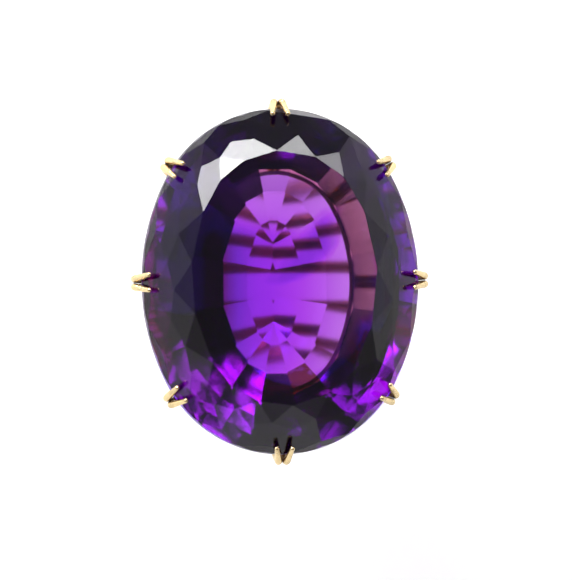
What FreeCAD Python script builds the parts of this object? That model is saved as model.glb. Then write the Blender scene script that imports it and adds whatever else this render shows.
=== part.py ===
import FreeCAD, Part
import math
import os
from FreeCAD import Placement, Rotation, Vector

# A cocktail ring: a large oval stone held by eight pairs of claw wires. The origin is the
# centre of the finger hole, +Y runs along the finger and +Z up through the middle of the
# stone. All sizes are in millimetres, and angles in degrees.

# Finger hole and the two wires of the shank
boreRadius = 8.5
shankWireRadius = 0.65
shankFlat = 0.1            # filed off the wires on the finger's side
shankSpread = 2.1          # middle of the ring to the middle of each wire, along the finger

# Stone: girdle
stoneWidth = 28.0          # across the finger
stoneLength = 34.8         # along the finger
endFullness = 0.6          # 0 rounds the ends as an ellipse does, 1 makes them half circles
girdleWall = 0.35          # upright wall, at the middle of each pavilion facet
bevelWidth = 0.15          # slant above the wall, in plan
bevelHeight = 0.35

# Stone: crown
crownHeight = 3.8          # top of the girdle wall to the table
crownReach = 4.65          # girdle to table corner, in plan
kiteReach = 2.35           # table corner to the outer tip of its kite, in plan
kiteDrop = 1.5             # table to the outer tips of the kites
starDrop = 0.95            # table to the tips of the stars
tableShift = 0.25          # the table's middle past the girdle's, along the finger
breakHeight = 1.1          # top of the girdle wall to the outer tips of the break facets
leftFacets = 9             # kites from the top corner round the left side to the bottom one
rightFacets = 8            # and on round the right side
indexTurn = 3.6            # from the long axis to the top corner

# Stone: pavilion, five rows of flat steps down to a narrow keel
pavilionSides = 16
stepWidth = 2.5            # in plan, of every row at the sides but the one at the girdle
keelEndWidth = 2.9         # in plan, of the row at the keel, at the ends of the oval
secondEndWidth = 2.9
thirdEndWidth = 2.2
keelWidth = 0.5
keelLength = 6.9
girdleStepAngle = 54.0     # from level
fourthStepAngle = 44.9
thirdStepAngle = 40.5
secondStepAngle = 33.0
keelStepAngle = 25.0
keelClearance = 0.8        # finger hole to keel

# Rails and base
railRadius = 0.45          # of the bearing rail's wire
bearingInset = 0.95        # girdle to the middle of the bearing rail, in plan
galleryInset = 6.35        # the same for the gallery rail, an upright band
galleryThickness = 0.4
railSamples = 160          # places round a rail where its clearance from the stone is worked out
baseWidth = 1.2            # in plan
baseThickness = 1.2
baseSides = 24             # points that the base rail's outline goes through

# Claw wires
clawRadius = 0.38
diagonalTurn = 39.0        # from the width of the oval to a diagonal pair
clawStandOff = 0.75        # girdle to the outer bend, in plan
clawLap = 0.6              # girdle to the middle of the tip, in plan
clawSplay = 0.77           # middle of a pair to the middle of each tip
bendSetBack = 0.7          # along the wire, from the bearing rail to the bend above it
shoulderBend = 3.0         # radius of that bend, and of the one below the gallery rail
footLean = 20.0            # from upright, below the gallery rail
tipBend = 0.9              # radius of the bend over the girdle
tipRadius = 0.25           # of the filed point, where it rests on the crown

# Shoulder wires
strutRadius = 0.5
strutHead = 3.2            # middle of the ring to the head, along the finger
strutTurn = 10.0           # from level to where the foot meets the shank

# Clearances
solderGap = 0.03           # between pieces that are soldered together
seatGap = 0.03             # between the pavilion and the rails
tipGap = 0.08              # between the crown and the claw tips

# The girdle is an oval of four arcs.
halfWidth = stoneWidth / 2
halfLength = stoneLength / 2
endRadius = halfWidth * (1 - (1 - halfWidth / halfLength) * (1 - endFullness))
sideRadius = (halfWidth ** 2 + halfLength ** 2 - stoneLength * endRadius) / (stoneWidth - 2 * endRadius)
endCentre = halfLength - endRadius
sideCentre = sideRadius - halfWidth
jointFacing = math.atan2(abs(endCentre), abs(sideCentre))

# Heights follow from the finger hole and the rows of the pavilion. A row has its width at
# the sides, its width at the ends and its angle.
girdleStepWidth = halfWidth - keelWidth / 2 - 4 * stepWidth
steps = [
    (girdleStepWidth, girdleStepWidth, math.radians(girdleStepAngle)),
    (stepWidth, stepWidth, math.radians(fourthStepAngle)),
    (stepWidth, thirdEndWidth, math.radians(thirdStepAngle)),
    (stepWidth, secondEndWidth, math.radians(secondStepAngle)),
    (stepWidth, keelEndWidth, math.radians(keelStepAngle)),
]
keelHeight = boreRadius + keelClearance
pavilionTop = keelHeight + sum(width * math.tan(angle) for width, endWidth, angle in steps)
girdleTop = pavilionTop + girdleWall
rimTop = girdleTop + bevelHeight
tableHeight = girdleTop + crownHeight
baseTop = boreRadius + baseThickness
stoneHeart = Vector(0, 0, girdleTop)
up = Vector(0, 0, 1)


# ---- the oval ----

def ovalPoint(facing, offset, height):
    """The point of the girdle's oval that faces this way, moved out by the offset."""
    across = math.cos(facing)
    along = math.sin(facing)
    if abs(math.atan2(along, abs(across))) <= jointFacing:
        radius = sideRadius + offset
        return Vector(radius * across - math.copysign(sideCentre, across), radius * along, height)
    radius = endRadius + offset
    return Vector(radius * across, radius * along + math.copysign(endCentre, along), height)


def facingAt(turn):
    """The way that the oval faces at this angle of its ellipse, from +X towards +Y."""
    angle = math.radians(turn)
    return math.atan2(stoneWidth * math.sin(angle), stoneLength * math.cos(angle))


def tangentAt(facing):
    return Vector(-math.sin(facing), math.cos(facing), 0)


def ovalWire(offset, height):
    joints = [jointFacing, math.pi - jointFacing, math.pi + jointFacing, 2 * math.pi - jointFacing]
    edges = []
    for start, end in zip(joints, joints[1:] + [2 * math.pi + jointFacing]):
        middle = (start + end) / 2
        radius = endRadius if abs(math.cos(middle)) < 0.5 else sideRadius
        centre = ovalPoint(middle, -radius, height)
        turns = [start, middle, end]
        reach = radius + offset
        points = [centre + Vector(math.cos(turn), math.sin(turn), 0) * reach for turn in turns]
        edges.append(Part.Arc(points[0], points[1], points[2]).toShape())
    return Part.Wire(edges)


def ovalSolid(bottomOffset, bottom, topOffset, top):
    return Part.makeLoft([ovalWire(bottomOffset, bottom), ovalWire(topOffset, top)], True, True)


# ---- the stone, ground flat by flat ----

def facetNormal(a, b, c):
    normal = (b - a).cross(c - a)
    if normal.dot(a - stoneHeart) < 0:
        normal = normal * -1
    return normal.normalize()


def grind(stone, point, outward):
    """Takes away all of the stone that lies outside a flat facet."""
    reach = 2 * (stoneLength + stoneWidth + tableHeight)
    lap = Part.makeBox(reach, reach, reach, Vector(-reach / 2, -reach / 2, 0))
    lap.Placement = Placement(point, Rotation(up, outward))
    return stone.cut(lap)


def grindThrough(stone, a, b, c):
    return grind(stone, a, facetNormal(a, b, c))


def meet(firstPoint, firstNormal, secondPoint, secondNormal, height):
    """The point at this height where two facets meet."""
    first = firstNormal.dot(firstPoint) - firstNormal.z * height
    second = secondNormal.dot(secondPoint) - secondNormal.z * height
    scale = firstNormal.x * secondNormal.y - firstNormal.y * secondNormal.x
    across = (first * secondNormal.y - second * firstNormal.y) / scale
    along = (firstNormal.x * second - secondNormal.x * first) / scale
    return Vector(across, along, height)


def crownPoint(facing, offset, height):
    """The same on the crown, which leans a little along the finger from the rim to the table."""
    point = ovalPoint(facing, offset, height)
    return point + Vector(0, tableShift * (height - rimTop) / (tableHeight - rimTop), 0)


def crownSectors():
    """One entry for each star: its two kites' points, then its own."""
    turns = [90 + indexTurn + 180 * index / leftFacets for index in range(leftFacets)]
    turns += [270 + indexTurn + 180 * index / rightFacets for index in range(rightFacets)]
    sides = []
    for facing in [facingAt(turn) for turn in turns]:
        corner = crownPoint(facing, -crownReach, tableHeight)
        kiteTip = crownPoint(facing, kiteReach - crownReach, tableHeight - kiteDrop)
        rimTip = ovalPoint(facing, -bevelWidth, rimTop)
        kite = facetNormal(corner, kiteTip, corner + tangentAt(facing))
        skirt = facetNormal(kiteTip, rimTip, kiteTip + tangentAt(facing))
        sides.append((corner, kiteTip, rimTip, kite, skirt))
    sectors = []
    for index, turn in enumerate(turns):
        after = (index + 1) % len(turns)
        end = turns[after] if after else turns[0] + 360
        corner, kiteTip, rimTip, kite, skirt = sides[index]
        nextCorner, nextKiteTip, nextRimTip, nextKite, nextSkirt = sides[after]
        starTip = meet(corner, kite, nextCorner, nextKite, tableHeight - starDrop)
        breakTip = meet(kiteTip, skirt, nextKiteTip, nextSkirt, girdleTop + breakHeight)
        rimMiddle = ovalPoint(facingAt((turn + end) / 2), -bevelWidth, rimTop)
        sectors.append((sides[index], sides[after], starTip, breakTip, rimMiddle))
    return sectors


def cutCrown(stone):
    sectors = crownSectors()
    for side, nextSide, starTip, breakTip, rimMiddle in sectors:
        corner, kiteTip, rimTip, kite, skirt = side
        stone = grind(stone, kiteTip, skirt)
        stone = grind(stone, kiteTip, kite)
    for side, nextSide, starTip, breakTip, rimMiddle in sectors:
        stone = grindThrough(stone, side[0], nextSide[0], starTip)
        for corner, kiteTip, rimTip, kite, skirt in (side, nextSide):
            stone = grindThrough(stone, starTip, kiteTip, breakTip)
            stone = grindThrough(stone, breakTip, rimTip, rimMiddle)
    return grind(stone, Vector(0, 0, tableHeight), up)


def between(side, end, facing):
    """From the value at the sides of the oval to the one at its ends."""
    return side + (end - side) * math.sin(facing) ** 2


def pavilionFacets():
    """A point and the outward direction of every flat of the pavilion.

    Each side goes from the girdle in, and from the keel out to meet that first flat."""
    facets = []
    for index in range(pavilionSides):
        facing = facingAt(360 * index / pavilionSides)
        level = Vector(math.cos(facing), math.sin(facing), 0)
        inset = between(halfWidth - keelWidth / 2, halfLength - keelLength / 2, facing)
        starts = [ovalPoint(facing, 0, pavilionTop)]
        point = ovalPoint(facing, -inset, keelHeight)
        for width, endWidth, angle in reversed(steps[1:]):
            starts.insert(1, point)
            run = between(width, endWidth, facing)
            point = point + level * run + up * run * math.tan(angle)
        for start, (width, endWidth, angle) in zip(starts, steps):
            facets.append((start, level * math.sin(angle) - up * math.cos(angle)))
    return facets


def cutPavilion(stone):
    for start, outward in pavilionFacets():
        stone = grind(stone, start, outward)
    return grind(stone, Vector(0, 0, keelHeight), up * -1)


def makeStone():
    slant = bevelWidth / bevelHeight
    upper = ovalSolid(0, girdleTop, -slant * crownHeight, tableHeight)
    lower = ovalSolid(0, keelHeight, 0, girdleTop)
    return cutCrown(upper).fuse(cutPavilion(lower))


# ---- rails round the pavilion ----

def railHeight(offset):
    """The highest that a level rail at this offset can sit under the stone."""
    stand = railRadius + seatGap
    facets = pavilionFacets()
    heights = []
    for index in range(railSamples):
        middle = ovalPoint(facingAt(360 * index / railSamples), offset, 0)
        rises = [((middle - start).dot(outward) - stand) / -outward.z for start, outward in facets]
        heights.append(max(rises))
    return min(heights)


def ovalRail(offset, height, radius):
    path = ovalWire(offset, height)
    start = path.Edges[0]
    middle = start.valueAt(start.FirstParameter)
    section = Part.makeCircle(radius, middle, start.tangentAt(start.FirstParameter))
    return path.makePipeShell([Part.Wire(section)], True, True)


bearingOffset = -bearingInset
bearingHeight = railHeight(bearingOffset)
galleryOffset = -galleryInset
galleryHeight = railHeight(galleryOffset)


def makeGalleryRail(stone):
    """An upright band whose top edge is filed to the stone's facets."""
    outer = galleryOffset + galleryThickness / 2
    inner = galleryOffset - galleryThickness / 2
    band = ovalSolid(outer, galleryFoot, outer, girdleTop).cut(ovalSolid(inner, galleryFoot, inner, girdleTop))
    gap = seatGap / math.cos(math.radians(fourthStepAngle))
    return band.cut(stone.translated(up * -gap)).removeSplitter()


# ---- claw wires ----
# From the base up, each wire bends out below the gallery rail, runs straight along the outside
# of both rails, bends towards upright, and then bends in over the girdle onto the crown.

clawLean = math.atan2(bearingOffset - galleryOffset, bearingHeight - galleryHeight)
clawStand = railRadius + clawRadius + solderGap
shoulderOffset = bearingOffset + clawStand * math.cos(clawLean) + bendSetBack * math.sin(clawLean)
shoulderHeight = bearingHeight - clawStand * math.sin(clawLean) + bendSetBack * math.cos(clawLean)
kneeOffset = galleryOffset + clawStand * math.cos(clawLean) - bendSetBack * math.sin(clawLean)
kneeHeight = galleryHeight - clawStand * math.sin(clawLean) - bendSetBack * math.cos(clawLean)
galleryDrop = railRadius - galleryThickness / 2 * math.cos(clawLean)
galleryFoot = galleryHeight - galleryDrop / math.sin(clawLean)
heelOffset = kneeOffset - kneeHeight * math.tan(math.radians(footLean))
clawTurns = [90, diagonalTurn, 0, -diagonalTurn, -90, diagonalTurn - 180, 180, 180 - diagonalTurn]
clawFacings = [facingAt(turn) for turn in clawTurns]


def rimSlope():
    """The steepest slope, rise over run, from the rim up to the break facets' tips."""
    slopes = []
    for side, nextSide, starTip, breakTip, rimMiddle in crownSectors():
        run = math.hypot(rimMiddle.x - breakTip.x, rimMiddle.y - breakTip.y)
        slopes.append((breakTip.z - rimMiddle.z) / run)
    return max(slopes)


def bentPath(points, radii):
    """Straight runs between the points, joined by tangent arcs."""
    edges = []
    last = points[0]
    for before, corner, after, radius in zip(points, points[1:], points[2:], radii):
        inward = (before - corner).normalize()
        onward = (after - corner).normalize()
        half = inward.getAngle(onward) / 2
        arcStart = corner + inward * (radius / math.tan(half))
        arcEnd = corner + onward * (radius / math.tan(half))
        arcMiddle = corner + (inward + onward).normalize() * (radius / math.sin(half) - radius)
        edges.append(Part.LineSegment(last, arcStart).toShape())
        edges.append(Part.Arc(arcStart, arcMiddle, arcEnd).toShape())
        last = arcEnd
    edges.append(Part.LineSegment(last, points[-1]).toShape())
    return Part.Wire(edges)


def fingerCylinder(radius):
    length = 2 * stoneLength
    return Part.makeCylinder(radius, length, Vector(0, -length / 2, 0), Vector(0, 1, 0))


def axisHeight(radius, offset):
    rise = math.atan(rimSlope())
    lift = radius + tipGap
    lineOffset = lift * math.sin(rise) - bevelWidth
    lineHeight = rimTop + lift * math.cos(rise)
    return lineHeight + (lineOffset - offset) * rimSlope()


def makeClawWire(facing, side):
    beside = tangentAt(facing) * side
    pairStand = beside * (clawRadius + solderGap / 2)
    heel = ovalPoint(facing, heelOffset, 0) + pairStand
    knee = ovalPoint(facing, kneeOffset, kneeHeight) + pairStand
    shoulder = ovalPoint(facing, shoulderOffset, shoulderHeight) + pairStand
    bend = ovalPoint(facing, clawStandOff, axisHeight(clawRadius, clawStandOff)) + pairStand
    tip = ovalPoint(facing, -clawLap, axisHeight(tipRadius, -clawLap)) + beside * clawSplay
    path = bentPath([heel, knee, shoulder, bend, tip], [shoulderBend, shoulderBend, tipBend])
    edges = path.OrderedEdges
    taperStart = edges[-1].firstVertex(True).Point
    section = Part.makeCircle(clawRadius, heel, knee - heel)
    wire = Part.Wire(edges[:-1]).makePipeShell([Part.Wire(section)], True, False)
    point = Part.makeCone(clawRadius, tipRadius, (tip - taperStart).Length, taperStart, tip - taperStart)
    wire = wire.fuse([point, Part.makeSphere(tipRadius, tip)]).removeSplitter()
    return wire.cut(fingerCylinder(baseTop + solderGap))


# ---- base rail and shank ----

def clawFoot(facing):
    """Where the middle of a pair of claw wires lands on the base rail."""
    heel = ovalPoint(facing, heelOffset, 0)
    run = ovalPoint(facing, kneeOffset, kneeHeight) - heel
    square = run.x ** 2 + run.z ** 2
    cross = heel.x * run.x + heel.z * run.z
    rest = heel.x ** 2 + heel.z ** 2 - baseTop ** 2
    return heel + run * ((math.sqrt(cross ** 2 - square * rest) - cross) / square)


def basePrism(offset):
    """All that lies above the finger and inside the base rail's outline, moved out."""
    feet = [clawFoot(facingAt(360 * index / baseSides)) for index in range(baseSides)]
    points = []
    for before, foot, after in zip(feet[-1:] + feet[:-1], feet, feet[1:] + feet[:1]):
        outward = Vector(after.y - before.y, before.x - after.x, 0).normalize()
        points.append(Vector(foot.x, foot.y, 0) + outward * offset)
    curve = Part.BSplineCurve()
    curve.interpolate(Points=points, PeriodicFlag=True)
    return Part.Face(Part.Wire(curve.toShape())).extrude(up * 2 * baseTop)


def makeBaseRail():
    ring = basePrism(baseWidth / 2).cut(basePrism(-baseWidth / 2))
    return ring.common(fingerCylinder(baseTop).cut(fingerCylinder(boreRadius)))


def makeHoop(along, growth):
    """One wire of the shank, as a whole ring."""
    middle = boreRadius - shankFlat + shankWireRadius
    centre = Vector(0, shankSpread * along, 0)
    return Part.makeTorus(middle, shankWireRadius + growth, centre, Vector(0, 1, 0))


def makeShankWire(along):
    wire = makeHoop(along, 0).cut(fingerCylinder(boreRadius))
    return wire.cut(basePrism(baseWidth / 2 + solderGap))


def makeShoulderWire(across, along):
    """A straight wire from the side of the shank up to the gallery rail."""
    turn = math.radians(strutTurn)
    middle = boreRadius - shankFlat + shankWireRadius
    foot = Vector(middle * math.cos(turn) * across, shankSpread * along, middle * math.sin(turn))
    rail = ovalPoint(math.asin(strutHead / (sideRadius + galleryOffset)), galleryOffset, galleryHeight)
    head = Vector(rail.x * across, rail.y * along, rail.z)
    wire = Part.makeCylinder(strutRadius, foot.distanceToPoint(head), foot, head - foot)
    wire = wire.cut(ovalSolid(0, galleryFoot - solderGap, 0, girdleTop))
    wire = wire.cut(makeHoop(along, solderGap))
    return max(wire.Solids, key=lambda solid: solid.Volume)


# ---- every piece, by name ----

stone = makeStone()
pieces = {
    "amethyst": stone,
    "bearing_rail": ovalRail(bearingOffset, bearingHeight, railRadius),
    "gallery_rail": makeGalleryRail(stone),
    "base_rail": makeBaseRail(),
    "shank_wire_front": makeShankWire(-1),
    "shank_wire_back": makeShankWire(1),
}
for number, facing in enumerate(clawFacings, 1):
    pieces["claw_%d_left" % number] = makeClawWire(facing, 1)
    pieces["claw_%d_right" % number] = makeClawWire(facing, -1)
for end, along in (("front", -1), ("back", 1)):
    pieces["shoulder_wire_%s_left" % end] = makeShoulderWire(-1, along)
    pieces["shoulder_wire_%s_right" % end] = makeShoulderWire(1, along)

os.makedirs("parts", exist_ok=True)
for name, shape in pieces.items():
    shape.exportStep("parts/%s.step" % name)
    print(name, len(shape.Solids), "solid", shape.isValid(), round(shape.Volume, 3), "mm3")
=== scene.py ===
import math

import bpy
from mathutils import Matrix, Vector


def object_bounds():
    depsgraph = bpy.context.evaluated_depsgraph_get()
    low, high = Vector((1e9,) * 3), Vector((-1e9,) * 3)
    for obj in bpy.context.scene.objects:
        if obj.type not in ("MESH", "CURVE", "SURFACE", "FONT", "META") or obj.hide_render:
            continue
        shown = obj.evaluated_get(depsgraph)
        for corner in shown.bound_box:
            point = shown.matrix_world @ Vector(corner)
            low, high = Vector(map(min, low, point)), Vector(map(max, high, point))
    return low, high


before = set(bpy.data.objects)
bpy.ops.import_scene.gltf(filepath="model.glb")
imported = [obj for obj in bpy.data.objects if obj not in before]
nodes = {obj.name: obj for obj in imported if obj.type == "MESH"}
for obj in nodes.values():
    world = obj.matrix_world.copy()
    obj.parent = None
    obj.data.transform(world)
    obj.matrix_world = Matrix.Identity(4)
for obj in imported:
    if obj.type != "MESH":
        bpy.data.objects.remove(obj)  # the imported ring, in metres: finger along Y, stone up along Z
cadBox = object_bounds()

mm = 0.001
print("ring loaded:", len(nodes), "nodes")


def addNode(tree, kind, label="", **values):
    node = tree.nodes.new(kind)
    if label:
        node.name = node.label = label
    for name, value in values.items():
        setattr(node, name, value)
    return node


def setInputs(node, **values):
    for name, value in values.items():
        node.inputs[name.replace("_", " ")].default_value = value
    return node


def mathNode(tree, operation, first, second=None, third=None, clamp=False):
    node = addNode(tree, "ShaderNodeMath", operation=operation, use_clamp=clamp)
    for slot, value in enumerate((first, second, third)):
        if value is None:
            continue
        if isinstance(value, (int, float)):
            node.inputs[slot].default_value = value
        else:
            tree.links.new(value, node.inputs[slot])
    return node.outputs[0]


def mixColour(tree, factor, first, second):
    node = addNode(tree, "ShaderNodeMix", data_type="RGBA")
    for slot, value in ((0, factor), (6, first), (7, second)):
        if isinstance(value, (int, float, tuple)):
            node.inputs[slot].default_value = value
        else:
            tree.links.new(value, node.inputs[slot])
    return node.outputs[2]


def stepNode(tree, value, low, high, start=0.0, end=1.0):
    # an eased step from start to end while the value goes from low to high
    node = addNode(tree, "ShaderNodeMapRange", interpolation_type="SMOOTHSTEP")
    tree.links.new(value, node.inputs["Value"])
    numbers = {"From Min": low, "From Max": high, "To Min": start, "To Max": end}
    for name, number in numbers.items():
        if isinstance(number, (int, float)):
            node.inputs[name].default_value = number
        else:
            tree.links.new(number, node.inputs[name])
    return node.outputs["Result"]


def noiseNode(tree, vector, scale, detail=3.0, roughness=0.55):
    node = addNode(tree, "ShaderNodeTexNoise")
    setInputs(node, Scale=scale, Detail=detail, Roughness=roughness)
    tree.links.new(vector, node.inputs["Vector"])
    return node.outputs["Fac"]


def vectorNode(tree, operation, first, second=None):
    node = addNode(tree, "ShaderNodeVectorMath", operation=operation)
    for slot, value in enumerate((first, second)):
        if value is None:
            continue
        if isinstance(value, tuple):
            node.inputs[slot].default_value = value
        else:
            tree.links.new(value, node.inputs[slot])
    return node.outputs["Value" if operation in ("DOT_PRODUCT", "LENGTH") else "Vector"]


def splitNode(tree, vector):
    node = addNode(tree, "ShaderNodeSeparateXYZ")
    tree.links.new(vector, node.inputs[0])
    return node.outputs


def speckNode(tree, scale, inner, outer, strength):
    # one round speck in each cell, full inside and nothing outside
    cells = addNode(tree, "ShaderNodeTexVoronoi")
    setInputs(cells, Scale=scale, Randomness=1.0)
    tree.links.new(millimetres(tree), cells.inputs["Vector"])
    return stepNode(tree, cells.outputs["Distance"], inner, outer, strength, 0.0)


def millimetres(tree, stretch=(1.0, 1.0, 1.0), turn=(0.0, 0.0, 0.0)):
    place = addNode(tree, "ShaderNodeTexCoord")
    mapping = addNode(tree, "ShaderNodeMapping")
    mapping.inputs["Rotation"].default_value = turn
    mapping.inputs["Scale"].default_value = tuple(1000.0 * s for s in stretch)
    tree.links.new(place.outputs["Object"], mapping.inputs["Vector"])
    return mapping.outputs["Vector"]


def newGroup(name, inputs, outputs):
    tree = bpy.data.node_groups.new(name, "ShaderNodeTree")
    for label, kind, value in inputs:
        socket = tree.interface.new_socket(name=label, in_out="INPUT", socket_type=kind)
        socket.default_value = value
    for label, kind in outputs:
        tree.interface.new_socket(name=label, in_out="OUTPUT", socket_type=kind)
    return tree, addNode(tree, "NodeGroupInput"), addNode(tree, "NodeGroupOutput")


def placeGroup(tree, group, label, **values):
    node = addNode(tree, "ShaderNodeGroup", label)
    node.node_tree = group
    return setInputs(node, **values)


def newMaterial(name):
    material = bpy.data.materials.new(name)
    material.use_nodes = True
    material.node_tree.nodes.clear()
    return material, material.node_tree


polishPlan = {
    # how each set of hair scratches is turned, in radians, and stretched
    "sets": [((0.3, 0.2, 0.5), (0.12, 1.6, 1.6)), ((0.9, 1.1, 2.1), (1.5, 0.1, 1.5)),
             ((1.7, 0.4, 1.2), (1.4, 1.4, 0.12))],
    "scratchDetail": 4.0,
    "scratchBreakup": 0.62,
    "hair": 0.022,  # half width of a scratch, in the noise's own value
    "patchScale": 0.55,  # scratches come in patches
    "patchFrom": 0.42,
    "patchTo": 0.62,
    "pitScale": 2.4,
    "pitInner": 0.05,
    "pitOuter": 0.12,
    "slowScale": 1.3,  # unevenness left by the buffing wheel
    "slowHeight": 0.8,
    "scratchDepth": 0.25,
}


def makePolishMarks():
    # hair scratches, pits and a slow unevenness
    plan = polishPlan
    group, ins, outs = newGroup("polish marks", [
        ("Scratch Size", "NodeSocketFloat", 5.0),
        ("Scratch Amount", "NodeSocketFloat", 0.5),
        ("Pit Amount", "NodeSocketFloat", 0.3),
    ], [
        ("Height", "NodeSocketFloat"),
        ("Scratches", "NodeSocketFloat"),
        ("Unevenness", "NodeSocketFloat"),
    ])
    scratches = None
    for turn, stretch in plan["sets"]:
        noise = addNode(group, "ShaderNodeTexNoise")
        setInputs(noise, Detail=plan["scratchDetail"], Roughness=plan["scratchBreakup"])
        group.links.new(millimetres(group, stretch, turn), noise.inputs["Vector"])
        group.links.new(ins.outputs["Scratch Size"], noise.inputs["Scale"])
        away = mathNode(group, "ABSOLUTE", mathNode(group, "SUBTRACT", noise.outputs["Fac"], 0.5))
        band = stepNode(group, away, 0.0, plan["hair"], 1.0, 0.0)
        scratches = band if scratches is None else mathNode(group, "MAXIMUM", scratches, band)
    patches = noiseNode(group, millimetres(group), plan["patchScale"], 2.0)
    patches = stepNode(group, patches, plan["patchFrom"], plan["patchTo"])
    marks = mathNode(group, "MULTIPLY", scratches, patches)
    marks = mathNode(group, "MULTIPLY", marks, ins.outputs["Scratch Amount"])
    pit = speckNode(group, plan["pitScale"], plan["pitInner"], plan["pitOuter"], 1.0)
    pit = mathNode(group, "MULTIPLY", pit, ins.outputs["Pit Amount"])
    slow = noiseNode(group, millimetres(group), plan["slowScale"], 2.0, 0.45)
    cut = mathNode(group, "MULTIPLY_ADD", marks, plan["scratchDepth"], pit)
    height = mathNode(group, "SUBTRACT", mathNode(group, "MULTIPLY", slow, plan["slowHeight"]), cut)
    group.links.new(height, outs.inputs["Height"])
    group.links.new(marks, outs.inputs["Scratches"])
    group.links.new(slow, outs.inputs["Unevenness"])
    return group


recessPlan = {
    "samples": 8,
    "shadePatchScale": 3.0,  # the painted shade comes in patches
    "shadePatchFrom": 0.25,
    "shadePatchTo": 0.7,
    "faintPatchShare": 0.55,  # what a faint patch keeps of the painted shade
}


def makeRecessShade():
    # painted shade: how closed in a place is, from ambient occlusion, darkening the notch of a claw
    # pair, under a rail and along a solder line
    plan = recessPlan
    group, ins, outs = newGroup("painted recess shade", [
        ("Reach", "NodeSocketFloat", 0.5),  # mm
    ], [("Recess", "NodeSocketFloat")])
    shade = addNode(group, "ShaderNodeAmbientOcclusion", samples=plan["samples"])
    reach = mathNode(group, "MULTIPLY", ins.outputs["Reach"], mm)
    group.links.new(reach, shade.inputs["Distance"])
    shadeMask = mathNode(group, "SUBTRACT", 1.0, shade.outputs["AO"], clamp=True)
    shadePatches = noiseNode(group, millimetres(group), plan["shadePatchScale"])
    shadePatches = stepNode(group, shadePatches, plan["shadePatchFrom"], plan["shadePatchTo"], plan["faintPatchShare"], 1.0)
    group.links.new(mathNode(group, "MULTIPLY", shadeMask, shadePatches, clamp=True), outs.inputs["Recess"])
    return group


zonePlan = {
    "middle": 0.49,  # level in the middle of the stone, from 0 at its deepest to 1 where it is clear
    "riseAcross": 0.057,  # per mm towards +X
    "waviness": 1.2,  # mm
    "bendScale": 0.22,
    # axis, where each step starts and ends in mm, and what it adds; the last step, which makes the left
    # rim paler, is a painted highlight
    "steps": [("Y", 4.0, 7.5, 0.48), ("Y", -3.0, -8.0, 0.03), ("X", -2.0, -5.5, -0.12),
              ("X", -7.0, -10.0, 0.4)],
    # painted shade: the front of the stone is deep outside an oval
    "ovalMiddle": (0.7, -0.3, 0.0),
    "ovalScale": (0.143, 0.109, 0.0),  # one over its half axes
    "ovalEdge": (1.03, 1.2),
    "shadedFront": (-2.5, -5.5),  # along Y
    "shadedRightSide": (9.5, 11.0, 0.95),  # painted shade on the right rim, along X: start, end, what it takes away
    # one flat dark plane crosses the back half
    "darkPlane": 0.72,  # what it takes away
    "planeNormal": (-0.731, 0.682, 0.0),
    "planeOffset": 0.27,
    "planeHalf": (0.7, 2.3),  # mm, full and faded out
    "planeFront": (-1.5, 0.5),
    "planeRight": (4.8, 6.2),
}


def makeZonesAndPaintedLight():
    # growth zoning through the window, with painted shade on the right rim and on the front outside the
    # oval, and a painted highlight on the left rim: 0 where the stone is deepest, 1 where it is clear
    plan = zonePlan
    group, ins, outs = newGroup("colour zones and painted light", [
        ("Middle", "NodeSocketFloat", plan["middle"]),
        ("Rise Across", "NodeSocketFloat", plan["riseAcross"]),
        ("Dark Plane", "NodeSocketFloat", plan["darkPlane"]),
        ("Waviness", "NodeSocketFloat", plan["waviness"]),
    ], [("Zone", "NodeSocketFloat")])
    bend = addNode(group, "ShaderNodeTexNoise")
    setInputs(bend, Scale=plan["bendScale"], Detail=2.0, Roughness=0.5)
    group.links.new(millimetres(group, (1.0, 1.0, 0.3)), bend.inputs["Vector"])
    scaled = addNode(group, "ShaderNodeVectorMath", operation="SCALE")
    centred = vectorNode(group, "SUBTRACT", bend.outputs["Color"], (0.5, 0.5, 0.5))
    group.links.new(centred, scaled.inputs[0])
    group.links.new(ins.outputs["Waviness"], scaled.inputs["Scale"])
    place = vectorNode(group, "ADD", millimetres(group), scaled.outputs[0])
    axes = splitNode(group, place)
    x, y = axes["X"], axes["Y"]
    level = mathNode(group, "MULTIPLY_ADD", x, ins.outputs["Rise Across"], ins.outputs["Middle"])
    # growth zoning, with the last step a painted highlight on the left rim
    for axis, first, last, gain in plan["steps"]:
        level = mathNode(group, "ADD", level, stepNode(group, axes[axis], first, last, 0.0, gain))
    level = mathNode(group, "MINIMUM", level, 1.0)
    shifted = vectorNode(group, "SUBTRACT", place, plan["ovalMiddle"])
    radius = vectorNode(group, "LENGTH", vectorNode(group, "MULTIPLY", shifted, plan["ovalScale"]))
    # painted shade: deeper outside the oval at the front and along the right rim
    outside, front = stepNode(group, radius, *plan["ovalEdge"]), stepNode(group, y, *plan["shadedFront"])
    level = mathNode(group, "SUBTRACT", level, mathNode(group, "MULTIPLY", outside, front))
    sideStart, sideEnd, sideDepth = plan["shadedRightSide"]
    level = mathNode(group, "SUBTRACT", level, stepNode(group, x, sideStart, sideEnd, 0.0, sideDepth))
    across = vectorNode(group, "DOT_PRODUCT", place, plan["planeNormal"])
    away = mathNode(group, "ABSOLUTE", mathNode(group, "ADD", across, plan["planeOffset"]))
    behind = stepNode(group, y, *plan["planeFront"])
    ends = mathNode(group, "MULTIPLY", behind, stepNode(group, x, *plan["planeRight"], 1.0, 0.0))
    dark = mathNode(group, "MULTIPLY", stepNode(group, away, *plan["planeHalf"], 1.0, 0.0), ends)
    cap = mathNode(group, "SUBTRACT", 1.0, mathNode(group, "MULTIPLY", dark, ins.outputs["Dark Plane"]))
    group.links.new(mathNode(group, "MINIMUM", level, cap, clamp=True), outs.inputs["Zone"])
    return group


polishMarks = makePolishMarks()
recessShadeGroup = makeRecessShade()
zonesAndPaintedLight = makeZonesAndPaintedLight()
print("shared effects built")


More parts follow.
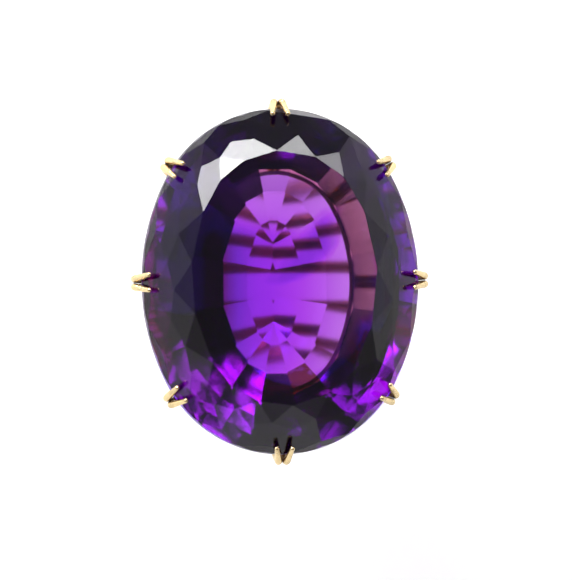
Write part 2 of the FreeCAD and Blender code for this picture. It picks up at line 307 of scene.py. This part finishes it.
stoneLook = {
    "ior": 1.544,
    # tone at each level of the colour zones, from the deepest to the clearest; the deepest, reddish
    # tone is painted shade with dark-red glints, on the right rim and the front of the crown
    "tones": [(0.0, (0.20, 0.02, 0.05, 1)), (0.12, (0.33, 0.17, 0.70, 1)), (0.40, (0.67, 0.27, 1, 1)),
              (0.6, (0.85, 0.42, 1, 1)), (0.84, (1, 1, 1, 1))],
    "absorbColour": (0.617, 0.012, 0.84, 1.0),
    "absorbDensity": 162.0,
    "polish": 0.08,
    "dust": 0.25,  # roughness of a speck of dust
    "dustScale": 0.8,
    "dustInner": 0.03,
    "dustOuter": 0.05,
    # the ground girdle, which looks whiter than the polished facets
    "girdleUpright": (0.50, 0.54),  # upward part of the normal, all girdle and none
    "frostedViolet": (0.80, 0.70, 0.90, 1.0),
    "frost": 0.42,
    "frostSpread": 0.2,
    "grainScale": 9.0,
    "grainDepth": 0.02,  # mm
    "grainStrength": 0.25,
    "rimGlaze": 0.8,  # coat
    "rimGlazeIor": 2.0,
    "rimGlazeGloss": 0.3,
    # painted reflection: a brown tint on one pavilion facet that stands in for the gold seen in that
    # facet
    "reflectionFacet": (0.323, -0.628, -0.708),  # its outward normal
    "reflectionMatch": (0.990, 0.996),
    "paintedReflectionColour": (0.13, 0.045, 0.008, 1),
    "reflectionTop": 21.5,  # mm, below the girdle
    "reflectionFade": 0.5,  # mm
    "reflectionScale": 1.1,
    "reflectionBreakup": (0.2, 0.5),
    "reflectionFaintest": 0.7,
}


def makeAmethyst():
    look = stoneLook
    material, tree = newMaterial("amethyst stone")
    link = tree.links.new
    out = addNode(tree, "ShaderNodeOutputMaterial")
    shader = addNode(tree, "ShaderNodeBsdfPrincipled")
    setInputs(shader, IOR=look["ior"], Transmission_Weight=1.0)
    setInputs(shader, Coat_IOR=look["rimGlazeIor"], Coat_Roughness=look["rimGlazeGloss"])
    zones = placeGroup(tree, zonesAndPaintedLight, "growth zones and painted light")
    tones = addNode(tree, "ShaderNodeValToRGB")
    ramp = tones.color_ramp.elements
    while len(ramp) < len(look["tones"]):
        ramp.new(0.5)
    for stop, (position, colour) in zip(ramp, look["tones"]):
        stop.position, stop.color = position, colour
    link(zones.outputs["Zone"], tones.inputs["Fac"])
    normal = addNode(tree, "ShaderNodeNewGeometry").outputs["Normal"]
    upright = mathNode(tree, "ABSOLUTE", splitNode(tree, normal)["Z"])
    girdle = stepNode(tree, upright, *look["girdleUpright"], 1.0, 0.0)
    # painted reflection: a brown tint on one pavilion facet, below the girdle, broken up by noise
    match = mathNode(tree, "ABSOLUTE", vectorNode(tree, "DOT_PRODUCT", normal, look["reflectionFacet"]))
    facetReflection = stepNode(tree, match, *look["reflectionMatch"])
    height = splitNode(tree, millimetres(tree))["Z"]
    below = stepNode(tree, height, look["reflectionTop"] - look["reflectionFade"], look["reflectionTop"], 1.0, 0.0)
    facetReflection = mathNode(tree, "MULTIPLY", facetReflection, below)
    clouds = noiseNode(tree, millimetres(tree), look["reflectionScale"], 4.0)
    clouds = stepNode(tree, clouds, *look["reflectionBreakup"], look["reflectionFaintest"], 1.0)
    facetReflection = mathNode(tree, "MULTIPLY", facetReflection, clouds)
    tinted = mixColour(tree, facetReflection, tones.outputs["Color"], look["paintedReflectionColour"])
    link(mixColour(tree, girdle, tinted, look["frostedViolet"]), shader.inputs["Base Color"])
    speck = speckNode(tree, look["dustScale"], look["dustInner"], look["dustOuter"], look["dust"])
    grain = noiseNode(tree, millimetres(tree), look["grainScale"])
    least = look["frost"] - look["frostSpread"] / 2
    frosted = mathNode(tree, "MULTIPLY_ADD", grain, look["frostSpread"], least)
    rough = mathNode(tree, "MAXIMUM", mathNode(tree, "MULTIPLY", girdle, frosted), speck)
    link(mathNode(tree, "MAXIMUM", rough, look["polish"]), shader.inputs["Roughness"])
    link(mathNode(tree, "MULTIPLY", girdle, look["rimGlaze"]), shader.inputs["Coat Weight"])
    bump = addNode(tree, "ShaderNodeBump")
    setInputs(bump, Strength=look["grainStrength"], Distance=look["grainDepth"] * mm)
    link(mathNode(tree, "MULTIPLY", girdle, grain), bump.inputs["Height"])
    link(bump.outputs["Normal"], shader.inputs["Normal"])
    volume = addNode(tree, "ShaderNodeVolumeAbsorption")
    setInputs(volume, Color=look["absorbColour"], Density=look["absorbDensity"])
    link(shader.outputs["BSDF"], out.inputs["Surface"])
    link(volume.outputs["Volume"], out.inputs["Volume"])
    return material


# bright: open metal; shadedWornColour: painted shade in notches and recesses, and the tone of scratches
# and wear; inside: towards the finger; reach, relief: mm
clawLook = {
    "bright": (0.90, 0.70, 0.38, 1), "shadedWornColour": (0.26, 0.14, 0.05, 1), "inside": (0.90, 0.70, 0.38, 1),
    "gloss": 0.14, "insideGloss": 0.14, "scratch": 0.8, "pits": 0.5, "reach": 1.3,
    "closedFrom": 0.10, "closedTo": 0.50, "relief": 0.09,
}
railLook = {
    "bright": (0.95, 0.75, 0.40, 1), "shadedWornColour": (0.80, 0.58, 0.28, 1), "inside": (0.95, 0.75, 0.40, 1),
    "gloss": 0.26, "insideGloss": 0.26, "scratch": 0.5, "pits": 0.2, "reach": 0.3,
    "closedFrom": 0.25, "closedTo": 0.85, "relief": 0.03,
}
# the shank's inside colour, far darker than its bright, is painted shade on the side that faces away
# from the light
shankLook = {
    "bright": (0.93, 0.71, 0.36, 1), "shadedWornColour": (0.44, 0.26, 0.11, 1), "inside": (0.34, 0.21, 0.10, 1),
    "gloss": 0.14, "insideGloss": 0.30, "scratch": 1.0, "pits": 0.5, "reach": 0.8,
    "closedFrom": 0.25, "closedTo": 0.85, "relief": 0.03,
}
shoulderLook = {
    "bright": (0.94, 0.72, 0.36, 1), "shadedWornColour": (0.60, 0.40, 0.18, 1), "inside": (0.80, 0.60, 0.30, 1),
    "gloss": 0.20, "insideGloss": 0.30, "scratch": 0.7, "pits": 0.3, "reach": 0.4,
    "closedFrom": 0.25, "closedTo": 0.85, "relief": 0.03,
}


# what wear does on every gold piece: tones go towards the shaded-and-worn colour, gloss is added
# roughness
wear = {
    "scratchSize": 4.0,
    "edgeWidth": 0.3,  # how softly the unbuffed side ends
    "edgeWander": 0.3,
    "wanderScale": 0.9,
    "slowEnds": (0.35, 0.65),
    "slowTone": 0.10,
    "scratchTone": 0.12,
    "slowGloss": 0.08,
    "scratchGloss": 0.18,
    "closedGloss": 0.15,
    "bumpStrength": 0.5,
}


def makeFingerSide():
    # the side of each wire that faces the finger, which is never buffed and wears to satin; the same
    # mask darkens that side's colour, which on the shank is painted shade
    group, ins, outs = newGroup("finger side", [
        ("Edge Width", "NodeSocketFloat", wear["edgeWidth"]),
    ], [("Inside", "NodeSocketFloat")])
    normal = addNode(group, "ShaderNodeNewGeometry").outputs["Normal"]
    place = addNode(group, "ShaderNodeTexCoord").outputs["Object"]
    inward = vectorNode(group, "NORMALIZE", vectorNode(group, "MULTIPLY", place, (-1, 0, -1)))
    facing = vectorNode(group, "DOT_PRODUCT", normal, inward)
    wander = noiseNode(group, millimetres(group), wear["wanderScale"])
    wander = mathNode(group, "MULTIPLY_ADD", wander, wear["edgeWander"], facing)
    group.links.new(stepNode(group, wander, 0.0, ins.outputs["Edge Width"]), outs.inputs["Inside"])
    return group


fingerSide = makeFingerSide()


def makeGold(name, look):
    material, tree = newMaterial(name)
    link = tree.links.new
    out = addNode(tree, "ShaderNodeOutputMaterial")
    shader = addNode(tree, "ShaderNodeBsdfPrincipled")
    setInputs(shader, Metallic=1.0, IOR=1.5)
    marks = placeGroup(tree, polishMarks, "polish", Scratch_Size=wear["scratchSize"],
                       Scratch_Amount=look["scratch"], Pit_Amount=look["pits"]).outputs
    recess = placeGroup(tree, recessShadeGroup, "shaded recesses", Reach=look["reach"]).outputs["Recess"]
    inside = placeGroup(tree, fingerSide, "finger side", Edge_Width=wear["edgeWidth"]).outputs["Inside"]
    # painted shade: closed places from the recess mask go towards the shaded-and-worn colour, along
    # with the real wear of scratches and unevenness
    shadeMask = stepNode(tree, recess, look["closedFrom"], look["closedTo"])
    slow = stepNode(tree, marks["Unevenness"], *wear["slowEnds"], 0.0, wear["slowTone"])
    worn = mathNode(tree, "MULTIPLY_ADD", marks["Scratches"], wear["scratchTone"], slow)
    shadeAndWear = mathNode(tree, "MAXIMUM", shadeMask, worn)
    # the finger side takes the inside colour: painted shade on the shank, a little darker on the
    # shoulders, the same as bright on the claws and rail
    base = mixColour(tree, inside, look["bright"], look["inside"])
    link(mixColour(tree, shadeAndWear, base, look["shadedWornColour"]), shader.inputs["Base Color"])
    least = look["gloss"] - wear["slowGloss"] / 2
    rough = mathNode(tree, "MULTIPLY_ADD", inside, look["insideGloss"] - look["gloss"], least)
    rough = mathNode(tree, "MULTIPLY_ADD", marks["Scratches"], wear["scratchGloss"], rough)
    rough = mathNode(tree, "MULTIPLY_ADD", shadeMask, wear["closedGloss"], rough)
    rough = mathNode(tree, "MULTIPLY_ADD", marks["Unevenness"], wear["slowGloss"], rough)
    link(rough, shader.inputs["Roughness"])
    bump = addNode(tree, "ShaderNodeBump")
    setInputs(bump, Strength=wear["bumpStrength"], Distance=look["relief"] * mm)
    link(marks["Height"], bump.inputs["Height"])
    link(bump.outputs["Normal"], shader.inputs["Normal"])
    link(shader.outputs["BSDF"], out.inputs["Surface"])
    return material


finishes = {
    "amethyst": makeAmethyst(),
    "claw": makeGold("claw gold", clawLook),
    "rail": makeGold("rail gold", railLook),
    "shank": makeGold("shank gold", shankLook),
    "shoulder": makeGold("shoulder gold", shoulderLook),
}
for name, piece in nodes.items():
    finish = next(finishes[word] for word in finishes if word in name)
    for index in range(len(piece.data.materials)):
        piece.data.materials[index] = finish
print("materials set:", len(finishes))


lightPlan = {
    "floorSize": 0.6,
    "floorColour": (0.86, 0.86, 0.86, 1),
    "floorGlow": 0.45,  # added where the camera or a mirror sees the floor
    "glossyGlow": 0.4,  # share of that glow that a mirror sees
    "floorBehindGlass": 1.32,
    "horizon": 0.95,
    "zenith": 0.15,
    "horizonEnds": (0.35, 0.85),  # height of the world, where it starts and ends to fade
    "throughStone": 0.62,  # how much of the room light comes through the stone
    "panelDistance": 0.5,
    "panelAim": 23.0,  # mm over the middle of the finger
    # softboxes: azimuth clockwise from +Y, elevation, half width, half height in degrees, radiance
    "panels": [
        ("key panel", -32.0, 34.0, 8.0, 7.0, 22.0),
        ("key panel right", -13.5, 29.0, 10.5, 9.0, 13.5),
        ("key panel left", -49.5, 32.0, 9.5, 9.0, 9.0),
        ("fill panel", 15.0, 31.0, 8.0, 6.0, 7.0),
        ("fill panel right", 38.0, 29.0, 9.0, 6.0, 4.2),
    ],
    # dark cards round the table: azimuth clockwise from +Y, full and end in degrees, what each leaves
    "cards": [(1.0, 30.0, 52.0, 0.26), (130.0, 14.0, 30.0, 0.25), (224.0, 6.0, 13.0, 0.35)],
}


def makeFloor():
    low = cadBox[0].z
    half = lightPlan["floorSize"] / 2
    mesh = bpy.data.meshes.new("studio floor")
    corners = [(x * half, y * half, low) for x, y in ((-1, -1), (1, -1), (1, 1), (-1, 1))]
    mesh.from_pydata(corners, [], [(0, 1, 2, 3)])
    floor = bpy.data.objects.new("studio floor", mesh)
    bpy.context.scene.collection.objects.link(floor)
    material, tree = newMaterial("white floor")
    link = tree.links.new
    out = addNode(tree, "ShaderNodeOutputMaterial")
    diffuse = addNode(tree, "ShaderNodeBsdfDiffuse")
    setInputs(diffuse, Color=lightPlan["floorColour"])
    path = addNode(tree, "ShaderNodeLightPath").outputs
    seen = mathNode(tree, "MULTIPLY_ADD", path["Is Glossy Ray"], lightPlan["glossyGlow"],
                    path["Is Camera Ray"], clamp=True)
    glow = addNode(tree, "ShaderNodeEmission")
    link(mathNode(tree, "MULTIPLY", seen, lightPlan["floorGlow"]), glow.inputs["Strength"])
    lit = addNode(tree, "ShaderNodeAddShader")
    link(diffuse.outputs[0], lit.inputs[0])
    link(glow.outputs[0], lit.inputs[1])
    behind = addNode(tree, "ShaderNodeEmission")
    setInputs(behind, Strength=lightPlan["floorBehindGlass"])
    pick = addNode(tree, "ShaderNodeMixShader")
    link(path["Is Transmission Ray"], pick.inputs[0])
    link(lit.outputs[0], pick.inputs[1])
    link(behind.outputs[0], pick.inputs[2])
    link(pick.outputs[0], out.inputs["Surface"])
    mesh.materials.append(material)


def makeWorld():
    world = bpy.data.worlds.new("studio")
    bpy.context.scene.world = world
    world.use_nodes = True
    tree = world.node_tree
    tree.nodes.clear()
    link = tree.links.new
    out = addNode(tree, "ShaderNodeOutputWorld")
    place = addNode(tree, "ShaderNodeTexCoord").outputs["Generated"]
    height = splitNode(tree, place)["Z"]
    level = stepNode(tree, height, *lightPlan["horizonEnds"], lightPlan["horizon"], lightPlan["zenith"])
    facing = vectorNode(tree, "NORMALIZE", vectorNode(tree, "MULTIPLY", place, (1, 1, 0)))
    for azimuth, full, end, left in lightPlan["cards"]:
        middle = (math.sin(math.radians(azimuth)), math.cos(math.radians(azimuth)), 0)
        near = vectorNode(tree, "DOT_PRODUCT", facing, middle)
        edge, core = math.cos(math.radians(end)), math.cos(math.radians(full))
        level = mathNode(tree, "MULTIPLY", level, stepNode(tree, near, edge, core, 1.0, left))
    path = addNode(tree, "ShaderNodeLightPath").outputs
    throughMix = addNode(tree, "ShaderNodeMix", data_type="FLOAT")
    link(path["Is Transmission Ray"], throughMix.inputs[0])
    link(level, throughMix.inputs[2])
    link(mathNode(tree, "MULTIPLY", level, lightPlan["throughStone"]), throughMix.inputs[3])
    cameraMix = addNode(tree, "ShaderNodeMix", data_type="FLOAT")
    link(path["Is Camera Ray"], cameraMix.inputs[0])
    link(throughMix.outputs[0], cameraMix.inputs[2])
    cameraMix.inputs[3].default_value = 1.0  # the camera sees white
    glow = addNode(tree, "ShaderNodeBackground")
    setInputs(glow, Color=(1, 1, 1, 1))
    link(cameraMix.outputs[0], glow.inputs["Strength"])
    link(glow.outputs[0], out.inputs["Surface"])


def addLamp(name, azimuth, elevation, halfWidth, halfHeight, radiance):
    a, e = math.radians(azimuth), math.radians(elevation)
    towards = Vector((math.sin(a) * math.cos(e), math.cos(a) * math.cos(e), math.sin(e)))
    distance = lightPlan["panelDistance"]
    data = bpy.data.lights.new(name, "AREA")
    data.shape = "RECTANGLE"
    data.size = 2 * distance * math.tan(math.radians(halfWidth))
    data.size_y = 2 * distance * math.tan(math.radians(halfHeight))
    data.energy = 4 * data.size * data.size_y * radiance  # watts at which it shows that radiance
    lamp = bpy.data.objects.new(name, data)
    lamp.location = Vector((0, 0, lightPlan["panelAim"] * mm)) + towards * distance
    lamp.rotation_euler = (-towards).to_track_quat("-Z", "Y").to_euler()
    bpy.context.scene.collection.objects.link(lamp)


makeFloor()
makeWorld()
for name, azimuth, elevation, width, height, radiance in lightPlan["panels"]:
    addLamp(name, azimuth, elevation, width, height, radiance)
print("studio set")


cameraPlan = {
    "sideTilt": 6.4,  # degrees, stands towards -X
    "frontTilt": 1.2,  # degrees, stands towards -Y
    "roll": 0.75,  # degrees
    "distance": 0.45,
    "frameWidth": 57.5 * mm,
    "frameShape": 580 / 572,  # height over width
    "aimRight": 0.53 * mm,
    "aimUp": -0.87 * mm,
    "aimHeight": 22.4 * mm,  # the plane of the girdle
    "sensor": 36.0,
    "nearest": 0.01,
    "farthest": 10.0,
}


def makeCamera():
    plan = cameraPlan
    aside, forward = math.tan(math.radians(plan["sideTilt"])), math.tan(math.radians(plan["frontTilt"]))
    back = Vector((-aside, -forward, 1)).normalized()
    up = Vector((0, 1, 0))
    up = (up - back * up.dot(back)).normalized()
    right = up.cross(back)
    turn = Matrix.Rotation(-math.radians(plan["roll"]), 3, back)
    up, right = turn @ up, turn @ right
    data = bpy.data.cameras.new("camera")
    data.sensor_fit = "AUTO"
    data.sensor_width = plan["sensor"]
    longSide = plan["frameWidth"] * plan["frameShape"]
    data.lens = plan["sensor"] * plan["distance"] / longSide
    data.clip_start, data.clip_end = plan["nearest"], plan["farthest"]
    camera = bpy.data.objects.new("camera", data)
    bpy.context.scene.collection.objects.link(camera)
    aim = Vector((0, 0, plan["aimHeight"])) + right * plan["aimRight"] + up * plan["aimUp"]
    camera.location = aim + back * plan["distance"]
    camera.rotation_euler = Matrix((right, up, back)).transposed().to_euler()
    bpy.context.scene.camera = camera


makeCamera()
bpy.context.scene.view_settings.view_transform = "Standard"
print("camera set")
